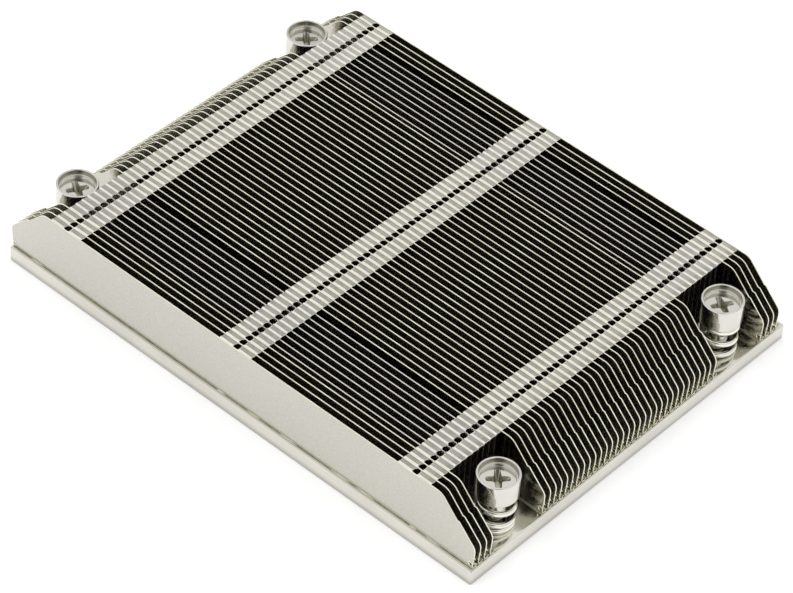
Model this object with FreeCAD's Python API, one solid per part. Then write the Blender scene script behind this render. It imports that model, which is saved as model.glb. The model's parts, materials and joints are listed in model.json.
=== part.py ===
import FreeCAD, Part
import math
import os

# Low passive heatsink for a server processor. A flat plated base plate carries a stack of folded sheet fins,
# which lock to each other along three bands of top flanges. Four captive spring screws stand in pockets in the
# fin stack, and hold the plate down on the socket frame.
#
# All sizes are in millimetres. The origin is the centre of the screw pattern, on the contact face under the
# plate. +X runs along the fins, +Y across them from the front fin to the closing fin, and +Z up.

# Screw pattern of the socket
screw_spacing_x = 94.0
screw_spacing_y = 56.0

# Fin stack
side_fins = 12                  # outer fins that each have a node of their own
fin_pitch = 1.39
fin_thickness = 0.3
fin_height = 11.75
stack_overhang_x = 4.9          # fin end beyond the screw centres
stack_overhang_y = 10.375       # outer fin faces beyond the screw centres

# Ends of a full-length fin, with heights above the plate
end_height = 4.5                # upright end, up to the foot of the slope
slope_angle = 45.0
slope_shift = 0.35              # the upper half of the slope lies this much further in
slope_shift_height = 8.2
slope_shift_rise = 0.55
top_bend_radius = 3.0
knee_radius = 3.0
end_tuck = 0.35                 # the foot of the end lies this much further in
tuck_low = 1.3
tuck_high = 2.6

# Bands of top flanges
band_width = 7.0
lock_window = 1.25              # open gap at the middle of a band

# Pockets in the stack round the screws
pocket_fins = 8                 # fins nearest to a screw's centre line, which are cut short
pocket_end_clearance = 1.05     # from the screw head to the cut ends of the short fins

# Base plate
plate_thickness = 3.0
plate_end_margin = 0.15
plate_side_margin = 0.65
plate_corner_radius = 0.8
plate_top_edge_radius = 0.35
plate_bottom_chamfer = 0.3

# Captive screws
head_radius = 3.65
head_height = 4.3
head_edge_radius = 0.25
rim_width = 0.45
cup_depth = 1.3
shank_radius = 1.8
thread_radius = 2.0
tip_recess = 0.15               # threaded tip inside the contact face at rest
tip_chamfer = 0.25
shank_clearance = 0.45          # shank to the hole in the plate

# Cross recess in the head
cross_span = 3.9
cross_width = 1.0
cross_depth = 1.6
cross_foot_span = 1.5
cross_foot_width = 0.7

# Retaining rings, in seats in the underside of the plate
ring_thickness = 0.5
ring_width = 2.2
ring_seat_depth = 2.1
ring_seat_clearance = 0.5
ring_running_clearance = 0.05
ring_mouth_width = 2.2
ring_relief_radius = 0.75
ring_relief_angle = 100.0
groove_depth = 0.4

# Springs between the screw heads and the plate
spring_height = 6.45
spring_wire_radius = 0.55
spring_shank_clearance = 0.3
spring_turns = 3.25

# Two lengths closer than this count as equal
same_length = 0.001

# Derived places
fin_end_x = screw_spacing_x / 2 + stack_overhang_x
stack_half_width = screw_spacing_y / 2 + stack_overhang_y
fin_count = round((2 * stack_half_width - fin_thickness) / fin_pitch) + 1
stack_front_y = -((fin_count - 1) * fin_pitch + fin_thickness) / 2
fin_top_z = plate_thickness + fin_height
pocket_end_x = screw_spacing_x / 2 - head_radius - pocket_end_clearance
head_bottom_z = plate_thickness + spring_height
head_top_z = head_bottom_z + head_height
groove_radius = shank_radius - groove_depth
ring_bore_radius = groove_radius + ring_running_clearance
ring_outer_radius = ring_bore_radius + ring_width
screw_hole_radius = shank_radius + shank_clearance
spring_radius = shank_radius + spring_shank_clearance + spring_wire_radius


def point(x, y, z):
    """Vector at x, y, z."""
    return FreeCAD.Vector(x, y, z)


def box(low, high):
    """Solid box between two opposite corners."""
    size = [b - a for a, b in zip(low, high)]
    return Part.makeBox(size[0], size[1], size[2], point(*low))


def cylinder(radius, low_z, high_z, x=0.0, y=0.0):
    """Upright solid cylinder on the axis x, y."""
    return Part.makeCylinder(radius, high_z - low_z, point(x, y, low_z))


def fused(shapes):
    """One solid from several that touch or overlap."""
    return shapes[0].multiFuse(shapes[1:]).removeSplitter()


def corner_arc(before, corner, after, radius):
    """Ends and middle of the arc that rounds a corner between two straight runs."""
    to_before = (before - corner).normalize()
    to_after = (after - corner).normalize()
    half_angle = to_before.getAngle(to_after) / 2
    reach = radius / math.tan(half_angle)
    inward = (to_before + to_after).normalize()
    middle = corner + inward * (radius / math.sin(half_angle) - radius)
    return corner + to_before * reach, middle, corner + to_after * reach


def rounded_face(corners):
    """Flat face from a closed list of (point, radius), with an arc at each corner whose radius isn't zero."""
    stops = []
    for index, (corner, radius) in enumerate(corners):
        before = corners[index - 1][0]
        after = corners[(index + 1) % len(corners)][0]
        stops.append(corner_arc(before, corner, after, radius) if radius > 0 else (corner, None, corner))
    edges = []
    for index, (start, middle, end) in enumerate(stops):
        if middle is not None:
            edges.append(Part.Arc(start, middle, end).toShape())
        edges.append(Part.LineSegment(end, stops[(index + 1) % len(stops)][0]).toShape())
    return Part.Face(Part.Wire(edges))


def full_end_corners():
    """Right-hand end of a full-length fin, from its foot up to the top edge, as (x, z, radius)."""
    slope = math.tan(math.radians(slope_angle))
    base = plate_thickness
    knee_z = base + end_height
    shift_low = base + slope_shift_height - slope_shift_rise / 2
    shift_high = shift_low + slope_shift_rise
    lower_x = fin_end_x - (shift_low - knee_z) / slope
    upper_x = fin_end_x - (shift_high - knee_z) / slope - slope_shift
    top_x = upper_x - (fin_top_z - shift_high) / slope
    return [
        (fin_end_x - end_tuck, base, 0),
        (fin_end_x - end_tuck, base + tuck_low, 0),
        (fin_end_x, base + tuck_high, 0),
        (fin_end_x, knee_z, knee_radius),
        (lower_x, shift_low, 0),
        (upper_x, shift_high, 0),
        (top_x, fin_top_z, top_bend_radius),
    ]


def short_end_corners():
    """Right-hand end of a fin that is cut off square beside a pocket, as (x, z, radius)."""
    return [(pocket_end_x, plate_thickness, 0), (pocket_end_x, fin_top_z, 0)]


def fin_sheet(end_corners):
    """Upright sheet of a fin, with its front face at y = 0 and both ends alike."""
    right = [(point(x, 0, z), radius) for x, z, radius in end_corners]
    left = [(point(-x, 0, z), radius) for x, z, radius in reversed(end_corners)]
    return rounded_face(right + left).extrude(point(0, fin_thickness, 0))


def top_flanges():
    """Flanges folded back from the top edge, a pair to each band with the lock window between them."""
    centres = (pocket_end_x - band_width / 2, 0, band_width / 2 - pocket_end_x)
    flanges = []
    for centre in centres:
        for side in (-1, 1):
            edges = sorted((centre + side * lock_window / 2, centre + side * band_width / 2))
            flanges.append(box((edges[0], 0, fin_top_z - fin_thickness), (edges[1], fin_pitch, fin_top_z)))
    return flanges


def fin(is_short, is_closing):
    """One folded fin: a sheet with a foot on the plate and, on all but the closing fin, the top flanges."""
    end_corners = short_end_corners() if is_short else full_end_corners()
    foot_x = end_corners[0][0]
    foot = box((-foot_x, 0, plate_thickness), (foot_x, fin_pitch, plate_thickness + fin_thickness))
    pieces = [fin_sheet(end_corners), foot]
    if not is_closing:
        pieces += top_flanges()
    return fused(pieces)


def screw_places():
    """Name and centre of each screw."""
    return [
        (f"{side}_{end}", x_sign * screw_spacing_x / 2, y_sign * screw_spacing_y / 2)
        for side, x_sign in (("left", -1), ("right", 1))
        for end, y_sign in (("front", -1), ("back", 1))
    ]


def fin_front(number):
    """Place of a fin's front face. The front fin is number 1."""
    return stack_front_y + (number - 1) * fin_pitch


def is_beside_screw(number):
    """True for a fin that would stand in a screw's pocket."""
    middle = fin_front(number) + fin_thickness / 2
    offset = abs(abs(middle) - screw_spacing_y / 2)
    return offset < pocket_fins / 2 * fin_pitch


def fin_nodes():
    """Fins by node name. All but the outer fins share a node two by two."""
    nodes = {}
    shapes = {}
    number = 1
    while number <= fin_count:
        paired = side_fins < number < fin_count - side_fins
        members = (number, number + 1) if paired else (number,)
        solids = []
        for member in members:
            kind = (is_beside_screw(member), member == fin_count)
            if kind not in shapes:
                shapes[kind] = fin(*kind)
            solids.append(shapes[kind].translated(point(0, fin_front(member), 0)))
        name = "fin_" + "_".join(f"{member:02d}" for member in members)
        nodes[name] = Part.makeCompound(solids) if paired else solids[0]
        number += len(members)
    return nodes


def level_edges(solid, height):
    """Edges of a solid that lie wholly at one height."""
    edges = []
    for edge in solid.Edges:
        low = edge.BoundBox.ZMin
        high = edge.BoundBox.ZMax
        if abs(low - height) < same_length and abs(high - height) < same_length:
            edges.append(edge)
    return edges


def base_plate():
    """Plate with rounded edges, a hole for each screw and a seat for each retaining ring."""
    low_y = stack_front_y - plate_side_margin
    high_y = fin_front(fin_count) + fin_pitch + plate_side_margin
    end_x = fin_end_x + plate_end_margin
    plate = box((-end_x, low_y, 0), (end_x, high_y, plate_thickness))
    upright = [edge for edge in plate.Edges if edge.BoundBox.ZLength > plate_thickness - same_length]
    plate = plate.makeFillet(plate_corner_radius, upright)
    plate = plate.makeFillet(plate_top_edge_radius, level_edges(plate, plate_thickness))
    plate = plate.makeChamfer(plate_bottom_chamfer, level_edges(plate, 0))
    for _, x, y in screw_places():
        plate = plate.cut(cylinder(screw_hole_radius, 0, plate_thickness, x, y))
        plate = plate.cut(cylinder(ring_outer_radius + ring_seat_clearance, 0, ring_seat_depth, x, y))
    return plate


def level_rectangle(span, width, height):
    """Closed outline of a level rectangle centred on the axis."""
    reach = span / 2
    side = width / 2
    corners = [(reach, side), (-reach, side), (-reach, -side), (reach, -side), (reach, side)]
    return Part.makePolygon([point(x, y, height) for x, y in corners])


def cross_recess():
    """Tapered cross that is cut down into the floor of the cup."""
    floor_z = head_top_z - cup_depth
    mouth = level_rectangle(cross_span, cross_width, floor_z)
    foot = level_rectangle(cross_foot_span, cross_foot_width, floor_z - cross_depth)
    arm = Part.makeLoft([mouth, foot], True, True)
    crossing_arm = arm.rotated(point(0, 0, 0), point(0, 0, 1), 90)
    return arm.fuse(crossing_arm)


def screw():
    """Cup-headed screw, turned in one piece, with a ring groove above the thread and a cross recess."""
    groove_low = ring_seat_depth - ring_thickness - ring_running_clearance
    groove_high = ring_seat_depth + ring_running_clearance
    floor_z = head_top_z - cup_depth
    outline = [
        (0, tip_recess, 0),
        (thread_radius - tip_chamfer, tip_recess, 0),
        (thread_radius, tip_recess + tip_chamfer, 0),
        (thread_radius, groove_low, 0),
        (groove_radius, groove_low, 0),
        (groove_radius, groove_high, 0),
        (shank_radius, groove_high, 0),
        (shank_radius, head_bottom_z, 0),
        (head_radius, head_bottom_z, head_edge_radius),
        (head_radius, head_top_z, head_edge_radius),
        (head_radius - rim_width, head_top_z, 0),
        (head_radius - rim_width, floor_z, 0),
        (0, floor_z, 0),
    ]
    section = rounded_face([(point(r, 0, z), radius) for r, z, radius in outline])
    turned = section.revolve(point(0, 0, 0), point(0, 0, 1), 360)
    return turned.cut(cross_recess())


def retaining_ring():
    """Flat open ring that snaps into the screw's groove, with two reliefs beside its middle prong."""
    high = ring_seat_depth
    low = high - ring_thickness
    ring = cylinder(ring_outer_radius, low, high).cut(cylinder(ring_bore_radius, low, high))
    mouth = box((0, -ring_mouth_width / 2, low), (ring_outer_radius, ring_mouth_width / 2, high))
    ring = ring.cut(mouth)
    relief_reach = ring_bore_radius + ring_relief_radius / 2
    for side in (-1, 1):
        angle = math.radians(side * ring_relief_angle)
        x = relief_reach * math.cos(angle)
        y = relief_reach * math.sin(angle)
        ring = ring.cut(cylinder(ring_relief_radius, low, high, x, y))
    return ring


def spring():
    """Compression spring with both ends ground flat, from the plate up to the screw head."""
    rise = spring_height / spring_turns
    path = Part.makeHelix(rise, spring_height, spring_radius)
    circle = Part.Circle(point(spring_radius, 0, 0), point(0, 1, 0), spring_wire_radius)
    section = Part.Wire([circle.toShape()])
    coil = Part.Wire(path).makePipeShell([section], True, True)
    reach = spring_radius + 2 * spring_wire_radius
    kept = cylinder(reach, 0, spring_height)
    return coil.common(kept).translated(point(0, 0, plate_thickness))


def hardware_nodes():
    """Screw, spring and retaining ring at each corner of the pattern, by node name."""
    nodes = {}
    for place, x, y in screw_places():
        centre = point(x, y, 0)
        nodes[f"screw_{place}"] = screw().translated(centre)
        nodes[f"spring_{place}"] = spring().translated(centre)
        nodes[f"retaining_ring_{place}"] = retaining_ring().translated(centre)
    return nodes


def main():
    """Write one STEP file for each node."""
    nodes = {"base_plate": base_plate()}
    nodes.update(fin_nodes())
    nodes.update(hardware_nodes())
    os.makedirs("parts", exist_ok=True)
    for name, shape in nodes.items():
        shape.exportStep(os.path.join("parts", f"{name}.step"))
        print(f"{name}: {len(shape.Solids)} solids, {shape.Volume:.1f} mm3, valid {shape.isValid()}")


main()
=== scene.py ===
"""Looks of a low passive heatsink for a server processor.

A plated base plate carries a stack of folded sheet fins, and four captive spring screws stand in pockets at
the corners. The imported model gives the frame, and each class here dresses or rebuilds one sub-assembly in it.
"""
import json
import logging
import math
import random
from dataclasses import dataclass, field
from enum import Enum

import bmesh
import bpy
from mathutils import Matrix, Vector


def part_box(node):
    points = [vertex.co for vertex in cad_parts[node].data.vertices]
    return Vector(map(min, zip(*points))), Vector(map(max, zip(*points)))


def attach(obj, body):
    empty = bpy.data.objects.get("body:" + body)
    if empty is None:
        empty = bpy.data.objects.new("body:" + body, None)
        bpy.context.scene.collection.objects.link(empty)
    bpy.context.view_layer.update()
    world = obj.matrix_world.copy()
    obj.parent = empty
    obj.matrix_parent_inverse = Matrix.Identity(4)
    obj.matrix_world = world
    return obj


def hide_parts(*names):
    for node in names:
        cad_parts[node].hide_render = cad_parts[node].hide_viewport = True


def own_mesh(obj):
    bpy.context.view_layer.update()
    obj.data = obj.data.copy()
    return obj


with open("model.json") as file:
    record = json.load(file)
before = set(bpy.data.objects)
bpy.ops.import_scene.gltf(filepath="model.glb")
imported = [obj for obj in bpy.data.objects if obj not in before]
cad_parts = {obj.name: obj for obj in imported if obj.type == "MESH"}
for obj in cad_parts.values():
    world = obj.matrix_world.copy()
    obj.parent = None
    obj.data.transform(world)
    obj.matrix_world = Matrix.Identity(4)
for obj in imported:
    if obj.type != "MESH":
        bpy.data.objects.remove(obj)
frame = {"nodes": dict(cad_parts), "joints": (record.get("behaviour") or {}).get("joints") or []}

MM = 0.001
SINK_BODY = "sink"
SCREW_TURNS = (
    ("left_front", 62.0, 40.0),
    ("left_back", 46.0, 200.0),
    ("right_front", 45.0, 111.0),
    ("right_back", 60.0, 302.0),
)
PATCH_STOPS = (0.35, 0.65)
LEAST_ROUGHNESS = 0.02
WELD_MM = 0.002
log = logging.getLogger("heatsink")


class Slot(Enum):
    """Material slots of the record."""

    PLATE = "nickel_plate"
    FIN = "fin_sheet"
    SCREW = "screw_steel"
    SPRING = "spring_steel"
    RING = "ring_steel"


class Kind(Enum):
    """The three kinds of fin in the stack."""

    FULL = "full"
    SHORT = "short"
    CLOSING = "closing"


@dataclass(frozen=True)
class Metal:
    """A metal finish with soft patches and fine grain, and painted shade towards the floor where one is asked
    for.
    """

    name: str
    tone: tuple[float, float, float]
    roughness: float
    patch_scale: float = 60.0
    patch_depth: float = 0.05
    grain_scale: float = 2500.0
    roughness_spread: float = 0.08
    bump_height: float = 0.0
    low_shade: float = 1.0
    low_height: float = 0.002

    def material(self) -> bpy.types.Material:
        """Build the finish.

        Returns:
            The node material, made once for each name.
        """
        found = bpy.data.materials.get(self.name)
        if found is not None:
            return found
        made = bpy.data.materials.new(self.name)
        made.use_nodes = True
        nodes = made.node_tree.nodes
        links = made.node_tree.links
        shader = nodes["Principled BSDF"]
        shader.inputs["Metallic"].default_value = 1.0
        place = nodes.new("ShaderNodeTexCoord")
        patches = nodes.new("ShaderNodeTexNoise")
        patches.inputs["Scale"].default_value = self.patch_scale
        patches.inputs["Detail"].default_value = 3.0
        links.new(place.outputs["Object"], patches.inputs["Vector"])
        tint = nodes.new("ShaderNodeValToRGB")
        low = [c * (1.0 - self.patch_depth) for c in self.tone]
        high = [min(1.0, c * (1.0 + self.patch_depth)) for c in self.tone]
        for stop, place_on_ramp, tone in zip(tint.color_ramp.elements, PATCH_STOPS, (low, high)):
            stop.position = place_on_ramp
            stop.color = (*tone, 1.0)
        links.new(patches.outputs["Fac"], tint.inputs["Fac"])
        # Painted shade: the colour is scaled down towards z = 0 in object space, to low_shade at the bottom,
        # over low_height.
        split = nodes.new("ShaderNodeSeparateXYZ")
        links.new(place.outputs["Object"], split.inputs["Vector"])
        fade = nodes.new("ShaderNodeMapRange")
        fade.interpolation_type = "SMOOTHSTEP"
        fade.inputs["From Max"].default_value = self.low_height
        fade.inputs["To Min"].default_value = self.low_shade
        links.new(split.outputs["Z"], fade.inputs["Value"])
        shade = nodes.new("ShaderNodeVectorMath")
        shade.operation = "SCALE"
        links.new(tint.outputs["Color"], shade.inputs[0])
        links.new(fade.outputs["Result"], shade.inputs["Scale"])
        links.new(shade.outputs["Vector"], shader.inputs["Base Color"])
        grain = nodes.new("ShaderNodeTexNoise")
        grain.inputs["Scale"].default_value = self.grain_scale
        grain.inputs["Detail"].default_value = 4.0
        links.new(place.outputs["Object"], grain.inputs["Vector"])
        spread = nodes.new("ShaderNodeMapRange")
        spread.inputs["To Min"].default_value = max(LEAST_ROUGHNESS, self.roughness - self.roughness_spread)
        spread.inputs["To Max"].default_value = self.roughness + self.roughness_spread
        links.new(grain.outputs["Fac"], spread.inputs["Value"])
        links.new(spread.outputs["Result"], shader.inputs["Roughness"])
        if self.bump_height > 0.0:
            bump = nodes.new("ShaderNodeBump")
            bump.inputs["Strength"].default_value = 1.0
            bump.inputs["Distance"].default_value = self.bump_height
            links.new(grain.outputs["Fac"], bump.inputs["Height"])
            links.new(bump.outputs["Normal"], shader.inputs["Normal"])
        return made


FIN_FACE = Metal("fin_face_satin", (0.582, 0.566, 0.51), 0.26, patch_scale=25.0, patch_depth=0.02)
# Painted highlight: a slightly paler copy of the fin face for the back wall of each screw pocket; its lower
# roughness is gloss.
FIN_WALL_HIGHLIGHT = Metal("fin_wall_painted_highlight", (0.60, 0.585, 0.52), 0.11, patch_scale=25.0, patch_depth=0.02)
# Painted shade, partly: a slightly darker copy of the fin metal for the flange flats and feet; its random tone
# patches are real variation.
FIN_FLANGE_SHADE = Metal("fin_flange_painted_shade", (0.56, 0.545, 0.495), 0.15, patch_scale=500.0, patch_depth=0.12)
# Painted highlight: a much paler copy of the fin metal on the top folds, the lips and the flange edges, for
# light catching their rounded bends.
FIN_FOLD_HIGHLIGHT = Metal("fin_fold_painted_highlight", (0.85, 0.825, 0.735), 0.3, patch_scale=700.0, patch_depth=0.06)
# Painted highlight: a much paler, warmer copy of the fin metal on the cut edges, for light catching them.
FIN_EDGE_HIGHLIGHT = Metal("fin_cut_edge_painted_highlight", (0.98, 0.93, 0.71), 0.42, patch_scale=330.0, patch_depth=0.16)
# Painted shade: a near-black copy of the fin metal for the upright ends of the short fins, which lie in the
# shade of the screw pockets.
FIN_END_SHADE = Metal("fin_short_end_painted_shade", (0.10, 0.09, 0.08), 0.5, patch_scale=900.0, patch_depth=0.2)
# Painted shade: the plate's sides darken towards the lower edge, a painted reflection of the shadow beneath it.
PLATE_NICKEL = Metal("plate_nickel", (0.70, 0.685, 0.62), 0.12, patch_depth=0.05, bump_height=0.000001,
                     low_shade=0.62, low_height=0.0016)
# Painted shade: a dark strip standing in for the shade in the narrow groove under the outer fins' feet.
FOOT_SEAM_SHADE = Metal("foot_seam_painted_shade", (0.26, 0.245, 0.205), 0.55, patch_scale=700.0, patch_depth=0.5)
SOLDER = Metal("solder_satin", (0.66, 0.65, 0.60), 0.3, patch_scale=900.0, patch_depth=0.06)
SCREW_NICKEL = Metal("screw_nickel", (0.70, 0.685, 0.635), 0.13, patch_scale=300.0, patch_depth=0.03)
# Painted shade: a darker copy of the screw's nickel for the upper cup wall and the cross recess, where shade
# falls.
SCREW_RECESS_SHADE = Metal("screw_recess_painted_shade", (0.46, 0.44, 0.37), 0.22, patch_scale=500.0, patch_depth=0.12)
SPRING_WIRE = Metal("spring_wire", (0.82, 0.80, 0.73), 0.12, patch_scale=300.0, patch_depth=0.05)
RING_STEEL = Metal("ring_oiled_steel", (0.34, 0.33, 0.31), 0.3, patch_scale=500.0, patch_depth=0.1)


def box_mm(node: str) -> tuple[Vector, Vector]:
    """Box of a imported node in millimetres."""
    low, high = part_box(node)
    return Vector(low) / MM, Vector(high) / MM


def metre_mesh(work: bmesh.types.BMesh, name: str) -> bpy.types.Mesh:
    """Turn a mesh under work from millimetres into a mesh in metres.

    Args:
        work: The mesh under work, which is freed.
        name: Name for the mesh.

    Returns:
        The mesh in metres.
    """
    bmesh.ops.scale(work, vec=(MM, MM, MM), verts=work.verts)
    made = bpy.data.meshes.new(name)
    work.to_mesh(made)
    work.free()
    return made


def new_object(name: str, mesh: bpy.types.Mesh) -> bpy.types.Object:
    """Put a mesh in the scene under its own name.

    Args:
        name: Name of the piece.
        mesh: Its mesh.

    Returns:
        The new object.
    """
    made = bpy.data.objects.new(name, mesh)
    bpy.context.scene.collection.objects.link(made)
    return made


def smooth_by_angle(mesh: bpy.types.Mesh, degrees: float) -> None:
    """Shade a mesh smooth, except over edges sharper than an angle.

    Args:
        mesh: The mesh.
        degrees: Smallest angle between faces that stays sharp.
    """
    for face in mesh.polygons:
        face.use_smooth = True
    mesh.set_sharp_from_angle(angle=math.radians(degrees))


def round_corners(corners: list[tuple[float, float, float]], steps: int) -> list[tuple[float, float]]:
    """Round the corners of a closed outline.

    Args:
        corners: Each corner as (u, v, radius).
        steps: Segments in each rounded corner.

    Returns:
        Points of the rounded outline.
    """
    points = []
    for index, (u, v, radius) in enumerate(corners):
        if radius <= 0.0:
            points.append((u, v))
            continue
        corner = Vector((u, v))
        before = Vector(corners[index - 1][:2]) - corner
        after = Vector(corners[(index + 1) % len(corners)][:2]) - corner
        before.normalize()
        after.normalize()
        half = before.angle(after) / 2.0
        inward = (before + after).normalized()
        centre = corner + inward * (radius / math.sin(half))
        start = corner + before * (radius / math.tan(half)) - centre
        end = corner + after * (radius / math.tan(half)) - centre
        for step in range(steps + 1):
            share = step / steps
            arm = start.lerp(end, share)
            if arm.length < 1e-12:
                arm = -inward
            points.append(tuple(centre + arm.normalized() * radius))
    return points


def fill_loops(name: str, loops: list[list[tuple[float, float]]], thickness: float = 0.0,
               edge_round: float = 0.0) -> bpy.types.Mesh:
    """Fill an outline with holes, flat or with a thickness.

    Args:
        name: Name for the mesh.
        loops: The outline, and then the holes.
        thickness: Thickness of the sheet, or 0 for a single face.
        edge_round: Rounding of the cut edges.

    Returns:
        A mesh in the XY plane, centred on z = 0.
    """
    curve = bpy.data.curves.new(name, "CURVE")
    curve.dimensions = "2D"
    curve.fill_mode = "BOTH"
    curve.extrude = thickness / 2.0 - edge_round
    curve.bevel_depth = edge_round
    curve.bevel_resolution = 0
    curve.offset = -edge_round
    for loop in loops:
        spline = curve.splines.new("POLY")
        spline.points.add(len(loop) - 1)
        for point, (u, v) in zip(spline.points, loop):
            point.co = (u, v, 0.0, 1.0)
        spline.use_cyclic_u = True
    carrier = bpy.data.objects.new(name, curve)
    made = bpy.data.meshes.new_from_object(carrier)
    bpy.data.objects.remove(carrier)
    bpy.data.curves.remove(curve)
    return made


@dataclass
class SheetCut:
    """A flat outline with holes that is cut from sheet, with slightly rounded cut edges."""

    outline: list[tuple[float, float]]
    holes: list[list[tuple[float, float]]] = field(default_factory=list)
    thickness: float = 0.22
    edge_round: float = 0.04

    def mesh(self, name: str) -> bpy.types.Mesh:
        """The cut sheet as a mesh in the XY plane, in millimetres and centred on z = 0."""
        return fill_loops(name, [self.outline, *self.holes], self.thickness, self.edge_round)


@dataclass
class FoldedStrip:
    """A strip of sheet folded along x, from a centre line in the yz plane."""

    line: list[tuple[float, float]]
    thickness: float = 0.22

    def profile(self) -> list[tuple[float, float]]:
        """Closed outline of the sheet round its centre line.

        Returns:
            Points of one side, and then those of the other side backwards.
        """
        left, right = [], []
        for index, (y, z) in enumerate(self.line):
            before = Vector(self.line[max(0, index - 1)])
            after = Vector(self.line[min(len(self.line) - 1, index + 1)])
            along = (after - before).normalized()
            side = Vector((-along.y, along.x)) * (self.thickness / 2.0)
            left.append((y + side.x, z + side.y))
            right.append((y - side.x, z - side.y))
        return left + right[::-1]

    def mesh(self, name: str, start: float, end: float) -> bpy.types.Mesh:
        """Sweep the strip along x.

        Args:
            name: Name for the mesh.
            start: Lower end of the strip in x.
            end: Upper end of the strip in x.

        Returns:
            The swept mesh in millimetres.
        """
        profile = self.profile()
        work = bmesh.new()
        near = [work.verts.new((start, y, z)) for y, z in profile]
        far = [work.verts.new((end, y, z)) for y, z in profile]
        for index in range(len(profile)):
            after = (index + 1) % len(profile)
            work.faces.new((near[index], far[index], far[after], near[after]))
        half = len(self.line)
        for ring in (near, far):
            for index in range(half - 1):
                work.faces.new((ring[index], ring[index + 1], ring[-index - 2], ring[-index - 1]))
        bmesh.ops.recalc_face_normals(work, faces=work.faces)
        made = bpy.data.meshes.new(name)
        work.to_mesh(made)
        work.free()
        return made


def arc(centre: tuple[float, float], radius: float, start: float, end: float,
        steps: int) -> list[tuple[float, float]]:
    """Points of an arc round a centre, between two angles in degrees."""
    turns = [math.radians(start + (end - start) * step / steps) for step in range(steps + 1)]
    return [(centre[0] + radius * math.cos(t), centre[1] + radius * math.sin(t)) for t in turns]


def circle(x: float, y: float, radius: float, steps: int) -> list[tuple[float, float]]:
    """Points of a circle, anticlockwise from its right-hand side."""
    turns = [2.0 * math.pi * step / steps for step in range(steps)]
    return [(x + radius * math.cos(t), y + radius * math.sin(t)) for t in turns]


def flat_fill(outline: list[tuple[float, float]], holes: list[list[tuple[float, float]]],
              z: float) -> bpy.types.Mesh:
    """Fill a flat outline with holes at one height.

    Args:
        outline: Outer loop.
        holes: Inner loops.
        z: Height of the face.

    Returns:
        The filled mesh.
    """
    made = fill_loops("flat_fill", [outline, *holes])
    made.transform(Matrix.Translation((0.0, 0.0, z)))
    return made


def loft(work: bmesh.types.BMesh, loops: list[list[tuple[float, float, float]]]) -> None:
    """Add the faces between closed loops that have the same number of points.

    Args:
        work: Mesh that the faces go into.
        loops: The loops in order.
    """
    rings = [[work.verts.new(point) for point in loop] for loop in loops]
    for near, far in zip(rings, rings[1:]):
        for index in range(len(near)):
            after = (index + 1) % len(near)
            work.faces.new((near[index], near[after], far[after], far[index]))


def finish_mesh(work: bmesh.types.BMesh, name: str, finish: Metal, sharp: float) -> bpy.types.Mesh:
    """Weld a mesh in millimetres, scale it to metres and give it its finish.

    Args:
        work: The mesh under work, which is freed.
        name: Name for the mesh.
        finish: Its finish.
        sharp: Angle in degrees that stays sharp.

    Returns:
        The finished mesh.
    """
    bmesh.ops.remove_doubles(work, verts=work.verts, dist=WELD_MM)
    bmesh.ops.recalc_face_normals(work, faces=work.faces)
    made = metre_mesh(work, name)
    made.materials.append(finish.material())
    smooth_by_angle(made, sharp)
    return made


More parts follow.
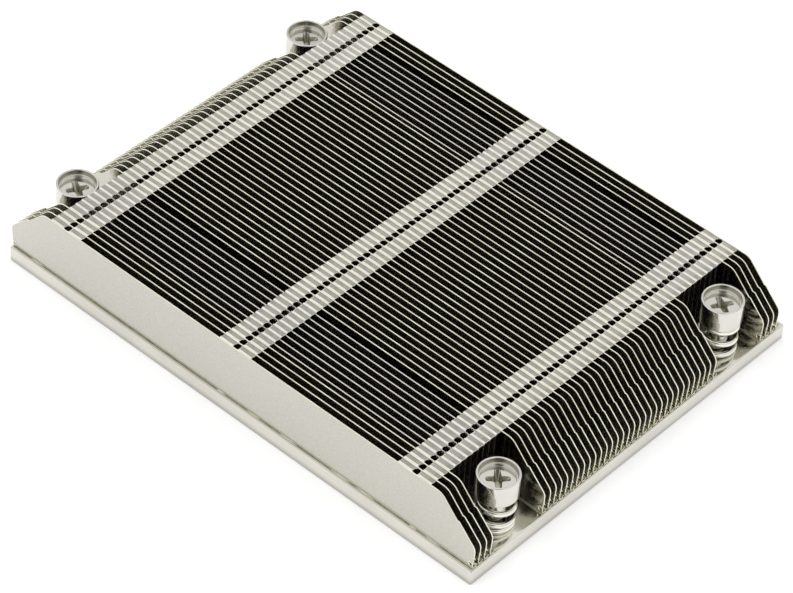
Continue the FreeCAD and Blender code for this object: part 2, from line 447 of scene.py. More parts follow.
@dataclass
class FinStack:
    """Stack of folded fins, each a sheet with a foot, top flanges and lock windows. Sizes in millimetres."""

    node_of: dict[int, str]
    short: frozenset[int]
    front: float
    pitch: float
    plate_top: float
    top: float
    end_x: float
    pocket_end_x: float
    thickness: float = 0.22
    shift_x: float = -0.12
    band_shift: float = -0.33
    end_height: float = 4.5
    slope_shift: float = 0.28
    jog_z: float = 11.0
    jog_drop: float = 0.1
    jog_round: float = 0.06
    end_tuck: float = 0.18
    tuck_low: float = 0.8
    tuck_high: float = 3.1
    tuck_radius: float = 1.2
    knee_radius: float = 1.7
    top_radius: float = 2.4
    band_width: float = 7.0
    window_x: float = 1.18
    window_front: float = 0.2
    window_round: float = 0.5
    window_slices: int = 8
    flange_lap: float = 0.2
    fold_radius: float = 0.42
    fold_overlap: float = 0.05
    fold_stub: int = 4
    flange_drop: float = 0.1
    flange_round: float = 0.12
    joint_overlap: float = 0.02
    foot_fold: float = 0.12
    foot_reach: float = 0.85
    foot_tip: float = 0.42
    foot_tip_slant: float = 0.7
    eye_inset: float = 0.2
    eye_length: float = 0.62
    eye_low: float = 0.5
    eye_high: float = 1.15
    eye_radius: float = 0.28
    lip_depth: float = 0.085
    lip_width: float = 0.12
    lip_thickness: float = 0.1
    foot_lip_height: float = 1.3
    foot_lip_length: float = 0.8
    foot_lip_thickness: float = 0.08
    corner_steps: int = 8
    broad_limit: float = 0.8
    end_limit: float = 0.6
    wander: float = 0.025
    wander_seed: int = 11
    jogs: tuple[tuple[float, float], ...] = ((-0.12, 0.38), (0.0, 0.54), (0.1, 0.44), (0.16, 0.5))

    @classmethod
    def from_frame(cls) -> "FinStack":
        """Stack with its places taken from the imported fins.

        Returns:
            The stack.
        """
        node_of = {}
        for node in frame["nodes"]:
            if node.startswith("fin_"):
                for number in node.split("_")[1:]:
                    node_of[int(number)] = node
        count = max(node_of)
        low, high = box_mm(node_of[1])
        pitch = (box_mm(node_of[count])[0].y - low.y) / (count - 1)
        reach = {number: box_mm(node)[1].x for number, node in node_of.items()}
        pocket_end = min(reach.values())
        short = frozenset(number for number, x in reach.items() if x < (high.x + pocket_end) / 2.0)
        return cls(node_of, short, low.y, pitch, low.z, high.z, high.x, pocket_end)

    def front_y(self, number: int) -> float:
        """Front face of a fin, counted from 1 at the front."""
        return self.front + (number - 1) * self.pitch

    def kind(self, number: int) -> Kind:
        """Kind of a fin, from its place in the stack.

        Args:
            number: The fin, counted from 1 at the front.

        Returns:
            Its kind.
        """
        if number == max(self.node_of):
            return Kind.CLOSING
        return Kind.SHORT if number in self.short else Kind.FULL

    def end_corners(self, kind: Kind,
                    jog: tuple[float, float] = (0.0, 0.43)) -> list[tuple[float, float, float]]:
        """Right-hand end of a fin from its foot to its top edge.

        Args:
            kind: Kind of fin.
            jog: Lift of the small step in the slope, and how far it reaches inwards.

        Returns:
            Corners as (x, z, radius).
        """
        base = self.plate_top + self.foot_fold + self.thickness / 2.0
        if kind is Kind.SHORT:
            return [(self.pocket_end_x, base, 0.0), (self.pocket_end_x, self.top - self.fold_radius, 0.0)]
        knee = self.plate_top + self.end_height
        jog_z = self.jog_z + jog[0]
        outer_x = self.end_x - (jog_z - knee)
        inner_x = outer_x - jog[1]
        upper_z = jog_z + self.jog_drop
        upper_x = min(inner_x, self.end_x - (upper_z - knee) - self.slope_shift)
        return [
            (self.end_x - self.end_tuck, base, 0.0),
            (self.end_x - self.end_tuck, self.plate_top + self.tuck_low, self.tuck_radius),
            (self.end_x, self.plate_top + self.tuck_high, self.tuck_radius),
            (self.end_x, knee, self.knee_radius),
            (outer_x, jog_z, self.jog_round),
            (inner_x, jog_z, self.jog_round),
            (upper_x - 0.02, upper_z, self.jog_round),
            (self.end_x - (self.top - knee) - self.slope_shift, self.top, self.top_radius),
        ]

    def eyes(self, kind: Kind) -> list[list[tuple[float, float]]]:
        """Small oval holes above the foot, near both ends of a fin.

        Args:
            kind: Kind of fin.

        Returns:
            One loop for each hole, and none in a short fin.
        """
        if kind is Kind.SHORT:
            return []
        end = self.end_x - self.end_tuck - self.eye_inset
        low = self.plate_top + self.eye_low
        high = self.plate_top + self.eye_high
        loops = []
        for side in (-1.0, 1.0):
            near, far = side * end, side * (end - self.eye_length)
            spots = ((near, low), (near, high), (far, high), (far, low))
            loops.append(round_corners([(*spot, self.eye_radius) for spot in spots], 3))
        return loops

    def sheet(self, kind: Kind, jog: tuple[float, float]) -> bpy.types.Mesh:
        """Upright sheet of a fin.

        Args:
            kind: Kind of fin.
            jog: Lift and reach of the small step in its slopes.

        Returns:
            The sheet, with its front face on y = 0.
        """
        right = self.end_corners(kind, jog)
        corners = right + [(-x, z, radius) for x, z, radius in reversed(right)]
        outline = round_corners(corners, self.corner_steps)
        if kind is Kind.SHORT:
            outline = [(x + self.band_shift, z) for x, z in outline]
        mesh = SheetCut(outline, self.eyes(kind), self.thickness).mesh("fin_sheet")
        mesh.transform(Matrix.Rotation(math.radians(90.0), 4, "X"))
        mesh.transform(Matrix.Translation((0.0, self.thickness / 2.0, 0.0)))
        return mesh

    def crest_line(self, end_y: float) -> list[tuple[float, float]]:
        """Centre line of the top fold, from the sheet up and back.

        Args:
            end_y: Depth at which the fold is cut off.

        Returns:
            Points of the line as (y, z), with enough of them for a short stub of the fold.
        """
        half = self.thickness / 2.0
        radius = self.fold_radius
        line = [(half, self.top - radius - half - self.fold_overlap)]
        line += arc((half + radius, self.top - half - radius), radius, 180.0, 90.0, 8)
        kept = [point for point in line if point[0] <= end_y]
        return kept if len(kept) >= self.fold_stub else line[:self.fold_stub]

    def window_edge(self, x: float) -> float:
        """Front edge of a lock window.

        Args:
            x: Distance from the middle of the window.

        Returns:
            Depth of the edge there.
        """
        flat = self.window_x / 2.0 - self.window_round
        beyond = min(self.window_round, max(0.0, abs(x) - flat))
        return self.window_front + self.window_round - math.sqrt(self.window_round ** 2 - beyond ** 2)

    def crests(self) -> list[bpy.types.Mesh]:
        """Top fold of one band, open at its lock window.

        Returns:
            The pieces of the fold, centred on x = 0.
        """
        half = self.band_width / 2.0
        window = self.window_x / 2.0
        full = FoldedStrip(self.crest_line(self.pitch), self.thickness)
        made = [full.mesh("crest", -half, -window), full.mesh("crest", window, half)]
        width = self.window_x / self.window_slices
        for index in range(self.window_slices):
            start = -window + index * width
            strip = FoldedStrip(self.crest_line(self.window_edge(start + width / 2.0)), self.thickness)
            made.append(strip.mesh("crest", start, start + width))
        return made

    def flange(self) -> bpy.types.Mesh:
        """One flange of a band, with its lock window.

        Returns:
            The flange, centred on x = 0 and sloping down a little to the back.
        """
        half = self.band_width / 2.0
        start = self.thickness / 2.0 + self.fold_radius - self.joint_overlap
        end = self.pitch + self.flange_lap
        window = self.window_x / 2.0
        back = self.pitch + self.joint_overlap
        outline = round_corners(
            [(-half, start, 0.0), (-window, start, 0.0), (-window, back, self.window_round),
             (window, back, self.window_round), (window, start, 0.0), (half, start, 0.0),
             (half, end, self.flange_round), (-half, end, self.flange_round)], 5
        )
        mesh = SheetCut(outline, [], self.thickness).mesh("fin_flange")
        tilt = -math.atan2(self.flange_drop, self.pitch - start)
        mesh.transform(Matrix.Translation((0.0, -start, 0.0)))
        mesh.transform(Matrix.Rotation(tilt, 4, "X"))
        mesh.transform(Matrix.Translation((0.0, start, self.top - self.thickness / 2.0)))
        return mesh

    def lips(self) -> list[bpy.types.Mesh]:
        """Raised lips of a lock window, one on each side.

        Returns:
            The lips, centred on x = 0. The right one stands a little higher.
        """
        middle = self.top - self.lip_depth
        made = []
        for side, height in ((-1.0, 0.0), (1.0, 0.03)):
            line = [(0.5, middle - 0.05), (0.7, middle + height), (1.0, middle - 0.02 + height),
                    (1.3, middle - 0.07)]
            near = side * self.window_x / 2.0
            low, high = sorted((near, near + side * self.lip_width))
            made.append(FoldedStrip(line, self.lip_thickness).mesh("window_lip", low, high))
        return made

    def foot(self, kind: Kind) -> bpy.types.Mesh:
        """Foot fold and foot flange, with its tip turned up a little.

        Args:
            kind: Kind of fin.

        Returns:
            The foot, as long as the fin.
        """
        reach = self.end_corners(kind)[0][0]
        half = self.thickness / 2.0
        radius = self.foot_fold
        base = self.plate_top + half
        line = [(half, base + radius + half)] + arc((half + radius, base + radius), radius, 180.0, 270.0, 5)
        line.append((self.foot_reach, base))
        rise = self.foot_tip * self.foot_tip_slant
        line.append((self.foot_reach + rise, base + rise))
        return FoldedStrip(line, self.thickness).mesh("fin_foot", -reach, reach)

    def foot_lips(self, kind: Kind) -> list[bpy.types.Mesh]:
        """Pressed lips above the eyes, on the front face near both ends.

        Args:
            kind: Kind of fin.

        Returns:
            The two lips, and none on a short fin.
        """
        if kind is Kind.SHORT:
            return []
        end = self.end_x - self.end_tuck
        z = self.plate_top + self.foot_lip_height
        half = self.foot_lip_length / 2.0
        line = [(0.04, z - 0.16), (-0.06, z - 0.03), (-0.02, z + 0.05), (0.08, z + 0.06)]
        strip = FoldedStrip(line, self.foot_lip_thickness)
        middles = [side * end - side * half for side in (-1.0, 1.0)]
        return [strip.mesh("foot_lip", middle - half, middle + half) for middle in middles]

    def fin_mesh(self, kind: Kind, jog: tuple[float, float]) -> bpy.types.Mesh:
        """Whole fin of one kind.

        Args:
            kind: Kind of fin.
            jog: Lift and reach of the small step in its slopes.

        Returns:
            The fin in metres, with its front face on y = 0.
        """
        # Short fins take painted shade on their upright ends; the other fins take a painted highlight on their
        # cut edges.
        ends = FIN_END_SHADE if kind is Kind.SHORT else FIN_EDGE_HIGHLIGHT
        finishes = [FIN_FACE, FIN_FLANGE_SHADE, ends, FIN_FOLD_HIGHLIGHT]
        face, flat, edge, highlight_slot = range(4)
        parts = [(self.sheet(kind, jog), 0.0, face, edge), (self.foot(kind), 0.0, flat, edge)]
        parts += [(lip, 0.0, highlight_slot, highlight_slot) for lip in self.foot_lips(kind)]
        if kind is not Kind.CLOSING:
            band = self.pocket_end_x - self.band_width / 2.0
            for centre in (self.band_shift - band, self.band_shift, self.band_shift + band):
                parts.append((self.flange(), centre, flat, highlight_slot))
                parts += [(crest, centre, highlight_slot, highlight_slot) for crest in self.crests()]
                parts += [(lip, centre, highlight_slot, highlight_slot) for lip in self.lips()]
        work = bmesh.new()
        for mesh, centre, broad, cut in parts:
            mesh.transform(Matrix.Translation((centre, 0.0, 0.0)))
            first = len(work.faces)
            work.from_mesh(mesh)
            bpy.data.meshes.remove(mesh)
            work.faces.ensure_lookup_table()
            for piece in work.faces[first:]:
                piece.normal_update()
                squareness = abs(piece.normal.y if broad == face else piece.normal.z)
                piece.material_index = broad if squareness > self.broad_limit else cut
        # On short fins, cut faces that don't face along x take the painted highlight, so only the upright ends
        # keep the painted shade.
        if kind is Kind.SHORT:
            for piece in work.faces:
                if piece.material_index == edge and abs(piece.normal.x) < self.end_limit:
                    piece.material_index = highlight_slot
        made = metre_mesh(work, f"fin_{kind.value}")
        for finish in finishes:
            made.materials.append(finish.material())
        smooth_by_angle(made, 40.0)
        return made

    def build(self) -> list[bpy.types.Object]:
        """Build every fin in its place.

        Returns:
            The fins, front to back.
        """
        full = [self.fin_mesh(Kind.FULL, jog) for jog in self.jogs]
        others = {kind: self.fin_mesh(kind, self.jogs[0]) for kind in (Kind.SHORT, Kind.CLOSING)}
        chance = random.Random(self.wander_seed)
        made = []
        for number in sorted(self.node_of):
            kind = self.kind(number)
            mesh = chance.choice(full) if kind is Kind.FULL else others[kind]
            # The first full fin behind the short fins gets the painted-highlight face for the pocket's back
            # wall.
            if number - 1 in self.short and kind is Kind.FULL:
                mesh = mesh.copy()
                mesh.materials[0] = FIN_WALL_HIGHLIGHT.material()
            fin = new_object(f"folded_fin_{number:02d}", mesh)
            outer = number == 1 or kind is Kind.CLOSING
            sway = 0.0 if outer else chance.uniform(-self.wander, self.wander)
            fin.location = (self.shift_x * MM, (self.front_y(number) + sway) * MM, 0.0)
            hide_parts(self.node_of[number])
            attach(fin, SINK_BODY)
            made.append(fin)
        return made


@dataclass
class BasePlate:
    """Plated base plate with eased edges, screw holes and ring seats. Sizes in millimetres."""

    low: Vector
    high: Vector
    screws: list[tuple[float, float]]
    seat_depth: float
    corner_radius: float = 0.35
    top_radius: float = 0.3
    bottom_chamfer: float = 0.12
    hole_radius: float = 2.25
    seat_radius: float = 4.15
    hole_steps: int = 40
    seat_steps: int = 56

    def outline(self, inset: float) -> list[tuple[float, float]]:
        """Outline of the plate, moved inwards.

        Args:
            inset: Distance that it is moved by.

        Returns:
            Points of the outline.
        """
        left, front = self.low.x + inset, self.low.y + inset
        right, back = self.high.x - inset, self.high.y - inset
        radius = max(0.05, self.corner_radius - inset * 0.5)
        spots = ((left, front), (right, front), (right, back), (left, back))
        return round_corners([(*spot, radius) for spot in spots], 6)

    def build(self) -> bpy.types.Object:
        """Build the plate.

        Returns:
            The plate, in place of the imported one.
        """
        levels = [(self.bottom_chamfer, 0.0), (0.0, self.bottom_chamfer)]
        levels += arc((self.top_radius, self.high.z - self.top_radius), self.top_radius, 180.0, 90.0, 5)
        work = bmesh.new()
        loft(work, [[(x, y, z) for x, y in self.outline(inset)] for inset, z in levels])
        holes = [circle(x, y, self.hole_radius, self.hole_steps) for x, y in self.screws]
        seats = [circle(x, y, self.seat_radius, self.seat_steps) for x, y in self.screws]
        work.from_mesh(flat_fill(self.outline(self.top_radius), holes, self.high.z))
        work.from_mesh(flat_fill(self.outline(self.bottom_chamfer), seats, 0.0))
        for hole, seat in zip(holes, seats):
            loft(work, [[(u, v, z) for u, v in hole] for z in (self.seat_depth, self.high.z)])
            loft(work, [[(u, v, z) for u, v in seat] for z in (0.0, self.seat_depth)])
            work.from_mesh(flat_fill(seat, [hole], self.seat_depth))
        plate = new_object("plated_base_plate", finish_mesh(work, "plated_base_plate", PLATE_NICKEL, 40.0))
        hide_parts("base_plate")
        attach(plate, SINK_BODY)
        return plate


@dataclass
class SolderAndSeamShade:
    """Painted shade in a thin strip along the groove between the outer fins and the plate, bridged by solder
    here and there.
    """

    stack: FinStack
    height: float = 0.07
    depth: float = 0.04
    bridges: int = 8
    bridge_height: float = 0.16
    bridge_foot: float = 0.14
    bridge_steps: int = 12
    shortest_bridge: float = 1.5
    longest_bridge: float = 5.0
    spread: float = 0.94
    seed: int = 5

    def seam(self, name: str, y: float, side: float) -> bpy.types.Object:
        """Build one strip of painted shade along the groove at the foot.

        Args:
            name: Name of the piece.
            y: Outer face of the fin.
            side: -1 at the front and 1 at the back.

        Returns:
            The seam.
        """
        reach = self.stack.end_corners(Kind.FULL)[0][0] - 0.1
        z = self.stack.plate_top
        line = [(y + side * self.depth, z), (y + side * self.depth, z + self.height)]
        mesh = FoldedStrip(line, self.depth).mesh(name, -reach, reach)
        work = bmesh.new()
        work.from_mesh(mesh)
        bpy.data.meshes.remove(mesh)
        return new_object(name, finish_mesh(work, name, FOOT_SEAM_SHADE, 30.0))

    def bridge(self, name: str, x: float, y: float, side: float, length: float) -> bpy.types.Object:
        """Build one smooth bridge of solder over the seam.

        Args:
            name: Name of the piece.
            x: Middle of the bridge.
            y: Outer face of the fin.
            side: -1 at the front and 1 at the back.
            length: Length along the seam.

        Returns:
            The bridge.
        """
        z = self.stack.plate_top
        work = bmesh.new()
        loops = []
        for step in range(self.bridge_steps + 1):
            share = step / self.bridge_steps
            swell = math.sin(math.pi * share) ** 0.6 + 0.02
            rise = self.bridge_height * swell
            foot = self.bridge_foot * swell
            place = x + (share - 0.5) * length
            section = ((-0.02, 0.0), (foot, 0.0), (foot * 0.42, rise * 0.34), (0.05, rise), (-0.02, rise))
            loops.append([(place, y + side * out, z + up) for out, up in section])
        loft(work, loops)
        return new_object(name, finish_mesh(work, name, SOLDER, 60.0))

    def build(self) -> list[bpy.types.Object]:
        """Build both strips of painted shade and their solder bridges.

        Returns:
            The pieces.
        """
        chance = random.Random(self.seed)
        front = self.stack.front_y(1)
        back = self.stack.front_y(max(self.stack.node_of)) + self.stack.thickness
        made = []
        for label, y, side in (("front", front, -1.0), ("back", back, 1.0)):
            made.append(self.seam(f"foot_seam_{label}", y, side))
            for index in range(self.bridges):
                x = self.stack.end_x * self.spread * chance.uniform(-1.0, 1.0)
                length = chance.uniform(self.shortest_bridge, self.longest_bridge)
                made.append(self.bridge(f"solder_{label}_{index + 1:02d}", x, y, side, length))
        for piece in made:
            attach(piece, SINK_BODY)
        return made


@dataclass
class CaptiveScrew:
    """One captive screw with its spring and retaining ring. Sizes in millimetres."""

    place: str
    x: float
    y: float
    plate_top: float
    head_bottom: float
    head_top: float
    head_radius: float
    tip_z: float
    thread_top: float
    travel: float
    turn: float
    spring_turn: float
    cup_radius: float = 3.2
    floor_radius: float = 2.88
    cup_depth: float = 1.4
    shank_radius: float = 1.8
    groove_radius: float = 1.4
    thread_radius: float = 2.0
    thread_pitch: float = 0.4
    thread_depth: float = 0.2
    tip_bevel: float = 0.3
    centre_radius: float = 0.01
    cross_reach: float = 2.0
    cross_half_width: float = 0.62
    cross_foot_reach: float = 0.8
    cross_foot_half_width: float = 0.35
    cross_depth: float = 1.5
    round_steps: int = 72
    wire_radius: float = 0.5
    coil_radius: float = 3.03
    coil_start: float = -0.12
    coil_end: float = 2.85
    coil_pitch: float = 2.65
    closing_start: float = 1.745
    closing_turns: float = 0.6
    wire_sides: int = 14
    turn_steps: int = 44
    rim_round: float = 0.2
    cup_lip: float = 0.08
    groove_top: float = 2.15
    ring_play: float = 0.05

    @classmethod
    def from_frame(cls, place: str, turn: float, spring_turn: float) -> "CaptiveScrew":
        """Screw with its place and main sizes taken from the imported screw, spring, ring and joints.

        Args:
            place: Which corner it stands in.
            turn: How far the cross recess is turned, in degrees.
            spring_turn: How far the spring is turned, in degrees.

        Returns:
            The screw.
        """
        joints = {joint["name"]: joint for joint in frame["joints"]}
        x, y, _ = (c / MM for c in joints[f"screw_{place}_turn"]["pos_m"])
        travel = joints[f"screw_{place}_press"]["range_m"][1] / MM
        low, high = box_mm(f"screw_{place}")
        wire_low, wire_high = box_mm(f"spring_{place}")
        ring_low, _ = box_mm(f"retaining_ring_{place}")
        thread_top = ring_low.z - cls.ring_play
        return cls(place, x, y, wire_low.z, wire_high.z, high.z, high.x - x, low.z, thread_top, travel, turn,
                   spring_turn)

    @property
    def floor_z(self) -> float:
        """Height of the floor of the cup."""
        return self.head_top - self.cup_depth

    def head_profile(self) -> list[tuple[float, float]]:
        """Half section of the screw, from the edge of the cup's floor round the rim and down to its tip.

        Returns:
            Points of the section as (radius, z).
        """
        top, cup, rim, edge = self.head_top, self.cup_radius, self.head_radius, self.rim_round
        floor_r, floor_z, low = self.floor_radius, self.floor_z, self.head_bottom
        step = [(floor_r, 0.0), (floor_r + 0.05, 0.05), (floor_r + 0.07, 0.2), (floor_r + 0.12, 0.26)]
        wall = [(cup - 0.09, 0.28), (cup - 0.03, 0.34), (cup, 0.46)]
        profile = [(radius, floor_z + rise) for radius, rise in step + wall]
        profile += [(cup + 0.03, top - 0.3), (cup + 0.05, top - 0.12)]
        profile += arc((cup + 0.12, top - self.cup_lip), self.cup_lip, 170.0, 90.0, 3)
        profile += arc((rim - edge, top - edge), edge, 90.0, 0.0, 6)
        profile += [(rim, low + edge + 0.05)]
        profile += arc((rim - edge, low + edge), edge, 0.0, -90.0, 4)
        profile += [(self.shank_radius, low), (self.shank_radius, self.groove_top + 0.05),
                    (self.groove_radius, self.groove_top), (self.groove_radius, self.thread_top)]
        root = self.thread_radius - self.thread_depth
        profile += [(root, self.thread_top)]
        z = self.thread_top - self.thread_pitch / 2.0
        while z - self.thread_pitch > self.tip_z:
            profile += [(self.thread_radius, z), (root, z - self.thread_pitch / 2.0)]
            z -= self.thread_pitch
        profile += [(self.thread_radius - self.tip_bevel, self.tip_z), (self.centre_radius, self.tip_z)]
        return profile

    def cross(self, reach: float, half_width: float, crotch: float) -> list[tuple[float, float]]:
        """Outline of the cross recess.

        Args:
            reach: From the middle to the end of an arm.
            half_width: Half the width of an arm.
            crotch: Radius of the inner corners.

        Returns:
            Points of the outline, turned as the screw stands.
        """
        corners = []
        for quarter in range(4):
            angle = math.radians(90.0 * quarter + self.turn)
            along = Vector((math.cos(angle), math.sin(angle)))
            across = Vector((-along.y, along.x))
            for spot, radius in ((along * reach - across * half_width * 0.8, half_width * 0.5),
                                 (along * reach + across * half_width * 0.8, half_width * 0.5),
                                 ((along + across) * half_width, crotch)):
                corners.append((self.x + spot.x, self.y + spot.y, radius))
        return round_corners(corners, 4)

    def screw(self) -> bpy.types.Object:
        """Build the screw, with a stepped cup and a cross recess in its head.

        Returns:
            The screw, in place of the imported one.
        """
        work = bmesh.new()
        loops = []
        for radius, z in self.head_profile():
            loops.append([(u, v, z) for u, v in circle(self.x, self.y, radius, self.round_steps)])
        loft(work, loops)
        mouth = self.cross(self.cross_reach, self.cross_half_width, 0.4)
        throat = self.cross(self.cross_reach - 0.12, self.cross_half_width - 0.08, 0.32)
        foot = self.cross(self.cross_foot_reach, self.cross_foot_half_width, 0.1)
        bottom = self.floor_z - self.cross_depth
        levels = ((mouth, self.floor_z), (throat, self.floor_z - 0.1), (foot, bottom))
        loft(work, [[(u, v, z) for u, v in outline] for outline, z in levels])
        floor = circle(self.x, self.y, self.floor_radius, self.round_steps)
        work.from_mesh(flat_fill(floor, [mouth], self.floor_z))
        work.from_mesh(flat_fill(foot, [], bottom))
        name = f"captive_screw_{self.place}"
        mesh = finish_mesh(work, name, SCREW_NICKEL, 32.0)
        # Painted shade: the upper cup wall and the cross recess take the darker copy of the nickel.
        mesh.materials.append(SCREW_RECESS_SHADE.material())
        for face in mesh.polygons:
            out = math.hypot(face.center.x / MM - self.x, face.center.y / MM - self.y)
            rise = face.center.z / MM - self.floor_z
            if out < self.cup_radius + 0.04 and (rise > 0.48 or -self.cross_depth - 0.05 < rise < -0.02):
                face.material_index = 1
        made = new_object(name, mesh)
        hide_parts(f"screw_{self.place}")
        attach(made, f"screw_{self.place}")
        return made

    def wire_z(self, turns: float) -> float:
        """Height of the wire's middle along the spring.

        Args:
            turns: Turns from the top end downwards.

        Returns:
            The height.
        """
        low = self.plate_top + self.wire_radius
        high = self.head_bottom - self.wire_radius
        closing_end = self.closing_start + self.closing_turns
        if turns < self.closing_start:
            fall = high - low - self.coil_pitch * self.closing_turns / 2.0
            return high - fall * turns / self.closing_start
        if turns < closing_end:
            return low + self.coil_pitch * (closing_end - turns) ** 2 / (2.0 * self.closing_turns)
        return low

    def spring(self) -> bpy.types.Object:
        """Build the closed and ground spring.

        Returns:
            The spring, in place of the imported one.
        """
        low, high = self.plate_top, self.head_bottom
        count = int((self.coil_end - self.coil_start) * self.turn_steps)
        path = []
        for step in range(count + 1):
            turns = self.coil_start + (self.coil_end - self.coil_start) * step / count
            angle = 2.0 * math.pi * turns + math.radians(self.spring_turn)
            path.append(Vector((self.x + self.coil_radius * math.cos(angle),
                                self.y + self.coil_radius * math.sin(angle), self.wire_z(turns))))
        work = bmesh.new()
        rings = []
        for index, point in enumerate(path):
            along = (path[min(len(path) - 1, index + 1)] - path[max(0, index - 1)]).normalized()
            outward = Vector((point.x - self.x, point.y - self.y, 0.0)).normalized()
            side = along.cross(outward).normalized()
            outward = side.cross(along).normalized()
            ring = []
            for corner in range(self.wire_sides):
                angle = 2.0 * math.pi * corner / self.wire_sides
                spot = point + (outward * math.cos(angle) + side * math.sin(angle)) * self.wire_radius
                spot.z = min(high, max(low, spot.z))
                ring.append(work.verts.new(spot))
            rings.append(ring)
        for near, far in zip(rings, rings[1:]):
            for corner in range(self.wire_sides):
                after = (corner + 1) % self.wire_sides
                work.faces.new((near[corner], near[after], far[after], far[corner]))
        work.faces.new(rings[0][::-1])
        work.faces.new(rings[-1])
        bmesh.ops.recalc_face_normals(work, faces=work.faces)
        mesh = metre_mesh(work, f"coil_{self.place}")
        mesh.materials.append(SPRING_WIRE.material())
        smooth_by_angle(mesh, 50.0)
        made = new_object(f"coil_{self.place}", mesh)
        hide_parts(f"spring_{self.place}")
        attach(made, SINK_BODY)
        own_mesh(made)
        return made

    def build(self) -> list[bpy.types.Object]:
        """Dress the ring, and build the screw and the spring.

        Returns:
            The three pieces.
        """
        ring = frame["nodes"][f"retaining_ring_{self.place}"]
        ring.data.materials.clear()
        ring.data.materials.append(RING_STEEL.material())
        return [self.screw(), self.spring(), ring]


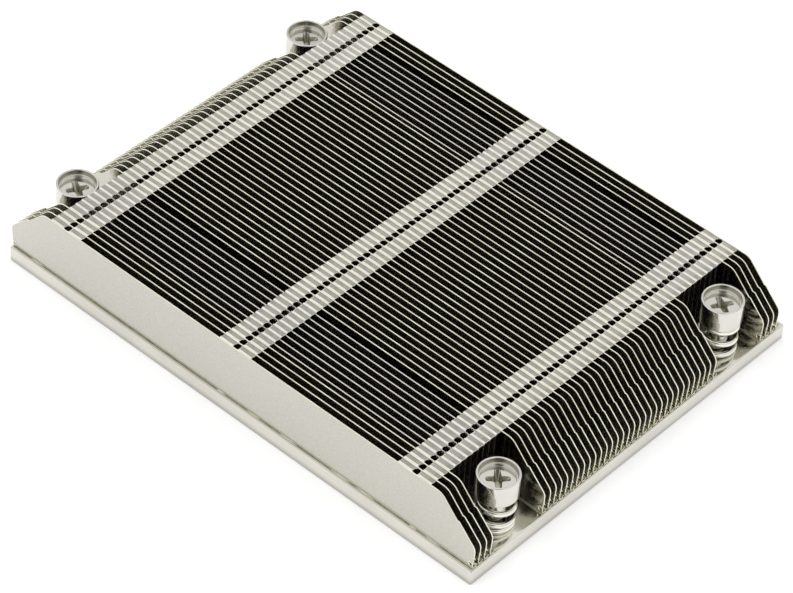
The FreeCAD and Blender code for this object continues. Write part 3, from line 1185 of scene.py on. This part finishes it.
@dataclass
class Studio:
    """Floor, soft light and camera."""

    camera_place: tuple[float, float, float] = (300.07, -364.24, 452.15)
    azimuth: float = 39.413
    elevation: float = 43.721
    roll: float = 4.267
    lens: float = 176.382
    sensor: float = 36.0
    nearest: float = 0.01
    farthest: float = 20.0
    floor_z: float = 0.0
    wall_levels: tuple[tuple[float, float], ...] = (
        (0.45, 1.0), (0.55, 0.6), (0.61, 0.6), (0.68, 0.92), (0.82, 1.02)
    )
    floor_reach: float = 3.0
    floor_gap: float = 0.00002
    floor_tone: float = 0.9
    floor_roughness: float = 0.9
    floor_glow: float = 0.34
    opening: tuple[float, float, float] = (0.4545, -0.5629, 0.6903)
    opening_edge: float = 27.0
    opening_core: float = 13.0
    opening_light: float = 0.12
    lamp_place: tuple[float, float, float] = (-0.4, -0.5, 1.0)
    lamp_size: float = 0.5
    lamp_watts: float = 1.5

    def floor(self) -> bpy.types.Object:
        """Build the pale floor, which shows white and keeps the object's shadow.

        Returns:
            The floor, just under the part.
        """
        mesh = bpy.data.meshes.new("studio_floor")
        reach = self.floor_reach
        z = self.floor_z - self.floor_gap
        corners = [(-reach, -reach, z), (reach, -reach, z), (reach, reach, z), (-reach, reach, z)]
        mesh.from_pydata(corners, [], [(0, 1, 2, 3)])
        made = new_object("studio_floor", mesh)
        material = bpy.data.materials.new("studio_floor")
        material.use_nodes = True
        nodes = material.node_tree.nodes
        links = material.node_tree.links
        shader = nodes["Principled BSDF"]
        shader.inputs["Base Color"].default_value = (self.floor_tone, self.floor_tone, self.floor_tone, 1.0)
        shader.inputs["Roughness"].default_value = self.floor_roughness
        path = nodes.new("ShaderNodeLightPath")
        seen = nodes.new("ShaderNodeMath")
        seen.operation = "ADD"
        seen.use_clamp = True
        links.new(path.outputs["Is Camera Ray"], seen.inputs[0])
        links.new(path.outputs["Is Glossy Ray"], seen.inputs[1])
        glow = nodes.new("ShaderNodeMath")
        glow.operation = "MULTIPLY"
        glow.inputs[1].default_value = self.floor_glow
        links.new(seen.outputs["Value"], glow.inputs[0])
        shader.inputs["Emission Color"].default_value = (1.0, 1.0, 1.0, 1.0)
        links.new(glow.outputs["Value"], shader.inputs["Emission Strength"])
        mesh.materials.append(material)
        return made

    def world(self) -> None:
        """Give the world soft white light that fades overhead, with one dark opening in the wall."""
        world = bpy.data.worlds.new("studio")
        world.use_nodes = True
        nodes = world.node_tree.nodes
        links = world.node_tree.links
        back = nodes["Background"]
        place = nodes.new("ShaderNodeTexCoord")
        split = nodes.new("ShaderNodeSeparateXYZ")
        links.new(place.outputs["Generated"], split.inputs["Vector"])
        rise = nodes.new("ShaderNodeValToRGB")
        rise.color_ramp.interpolation = "EASE"
        rise.color_ramp.elements.remove(rise.color_ramp.elements[1])
        for index, (height, level) in enumerate(self.wall_levels):
            stop = rise.color_ramp.elements[0] if index == 0 else rise.color_ramp.elements.new(height)
            stop.position = height
            stop.color = (level, level, level, 1.0)
        links.new(split.outputs["Z"], rise.inputs["Fac"])
        facing = nodes.new("ShaderNodeVectorMath")
        facing.operation = "DOT_PRODUCT"
        facing.inputs[1].default_value = self.opening
        links.new(place.outputs["Generated"], facing.inputs[0])
        shade = nodes.new("ShaderNodeMapRange")
        shade.interpolation_type = "SMOOTHSTEP"
        shade.inputs["From Min"].default_value = math.cos(math.radians(self.opening_edge))
        shade.inputs["From Max"].default_value = math.cos(math.radians(self.opening_core))
        shade.inputs["To Min"].default_value = 1.0
        shade.inputs["To Max"].default_value = self.opening_light
        links.new(facing.outputs["Value"], shade.inputs["Value"])
        light = nodes.new("ShaderNodeMath")
        light.operation = "MULTIPLY"
        links.new(rise.outputs["Color"], light.inputs[0])
        links.new(shade.outputs["Result"], light.inputs[1])
        back.inputs["Color"].default_value = (1.0, 1.0, 1.0, 1.0)
        links.new(light.outputs["Value"], back.inputs["Strength"])
        bpy.context.scene.world = world

    def lamp(self, name: str, where: tuple[float, float, float], size: float,
             watts: float) -> bpy.types.Object:
        """Hang one square soft lamp that faces the object.

        Args:
            name: Name of the lamp.
            where: Its place in metres.
            size: Side of its face in metres.
            watts: Its power.

        Returns:
            The lamp.
        """
        light = bpy.data.lights.new(name, "AREA")
        light.size = size
        light.energy = watts
        made = bpy.data.objects.new(name, light)
        made.location = where
        made.rotation_euler = (-Vector(where)).to_track_quat("-Z", "Y").to_euler()
        made.visible_glossy = False
        bpy.context.scene.collection.objects.link(made)
        return made

    def camera(self) -> bpy.types.Object:
        """Build the camera that the main view is taken from.

        Returns:
            The camera, which the scene uses.
        """
        data = bpy.data.cameras.new("camera")
        data.lens = self.lens
        data.sensor_width = self.sensor
        data.clip_start = self.nearest
        data.clip_end = self.farthest
        made = bpy.data.objects.new("camera", data)
        azimuth = math.radians(self.azimuth)
        elevation = math.radians(self.elevation)
        level = math.cos(elevation)
        out = Vector((math.sin(azimuth) * level, -math.cos(azimuth) * level, math.sin(elevation)))
        place = Vector(self.camera_place) * MM
        turn = out.to_track_quat("Z", "Y").to_matrix().to_4x4()
        roll = Matrix.Rotation(math.radians(self.roll), 4, "Z")
        made.matrix_world = Matrix.Translation(place) @ turn @ roll
        bpy.context.scene.collection.objects.link(made)
        bpy.context.scene.camera = made
        return made

    def build(self) -> None:
        """Build the whole studio."""
        self.floor()
        self.world()
        self.lamp("key", self.lamp_place, self.lamp_size, self.lamp_watts)
        self.camera()


def main() -> None:
    """Build the studio and the object, and log what was built."""
    logging.basicConfig(level=logging.INFO, format="%(name)s: %(message)s")
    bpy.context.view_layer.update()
    scene = bpy.context.scene
    scene.view_settings.view_transform = "Standard"
    Studio().build()
    stack = FinStack.from_frame()
    log.info("fins: %d", len(stack.build()))
    screws = [CaptiveScrew.from_frame(place, turn, spring_turn) for place, turn, spring_turn in SCREW_TURNS]
    low, high = box_mm("base_plate")
    _, ring_top = box_mm("retaining_ring_left_front")
    plate = BasePlate(low, high, [(screw.x, screw.y) for screw in screws], ring_top.z)
    log.info("plate: %s", plate.build().name)
    log.info("seams: %d", len(SolderAndSeamShade(stack).build()))
    for screw in screws:
        log.info("screw %s: %s", screw.place, ", ".join(piece.name for piece in screw.build()))


if __name__ == "__main__":
    main()
